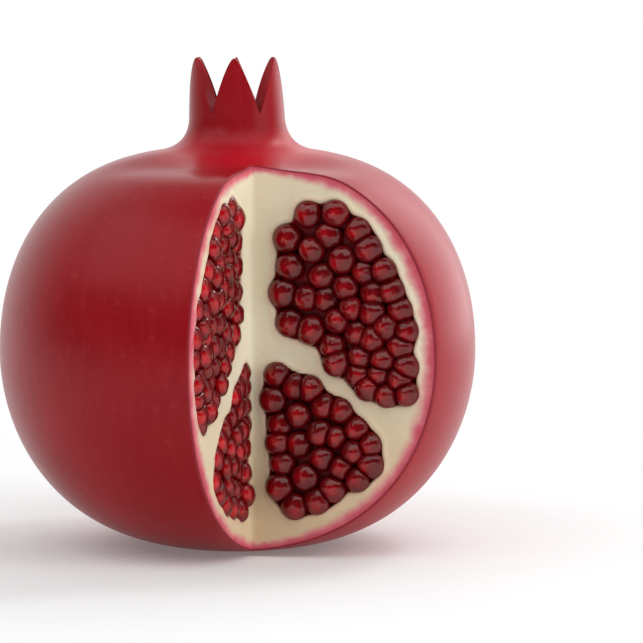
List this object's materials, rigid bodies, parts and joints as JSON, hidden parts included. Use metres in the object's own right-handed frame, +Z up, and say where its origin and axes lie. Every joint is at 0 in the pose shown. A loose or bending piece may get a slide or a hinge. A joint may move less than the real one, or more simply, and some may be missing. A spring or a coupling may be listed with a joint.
{
  "type": "open pomegranate",
  "caption": "Ripe pomegranate standing on its base with a wedge cut away, so that the arils in its seed chambers show, and a pointed calyx crown on top.",
  "frame": {"origin": "middle of the flat rest face under the fruit, on the fruit's own axis", "axes": "+Z up along the fruit's axis to the crown; the wedge is missing towards -Y and +X"},
  "size_m": [0.11, 0.1092, 0.1128],
  "materials": {
    "husk": "waxy satin red skin over cream pith",
    "aril": "wet, glassy dark red",
    "stamen": "dry, dull brown"
  },
  "bodies": {
    "root": {"husk": "husk", "stamens": "stamen", "upper_left_arils_row_1": "aril", "upper_left_arils_row_2": "aril", "upper_left_arils_row_3": "aril", "upper_left_arils_row_4": "aril", "upper_left_arils_row_5": "aril", "upper_left_arils_row_6": "aril", "upper_left_arils_row_7": "aril", "upper_left_arils_row_8": "aril", "upper_left_arils_row_9": "aril", "upper_left_arils_row_10": "aril", "lower_left_arils_row_1": "aril", "lower_left_arils_row_2": "aril", "lower_left_arils_row_3": "aril", "lower_left_arils_row_4": "aril", "lower_left_arils_row_5": "aril", "lower_left_arils_row_6": "aril", "lower_left_arils_row_7": "aril", "upper_right_arils_row_1": "aril", "upper_right_arils_row_2": "aril", "upper_right_arils_row_3": "aril", "upper_right_arils_row_4": "aril", "upper_right_arils_row_5": "aril", "upper_right_arils_row_6": "aril", "upper_right_arils_row_7": "aril", "upper_right_arils_row_8": "aril", "upper_right_arils_row_9": "aril", "upper_right_arils_row_10": "aril", "lower_right_arils_row_1": "aril", "lower_right_arils_row_2": "aril", "lower_right_arils_row_3": "aril", "lower_right_arils_row_4": "aril", "lower_right_arils_row_5": "aril", "lower_right_arils_row_6": "aril", "lower_right_arils_row_7": "aril"}
  },
  "joints": []
}
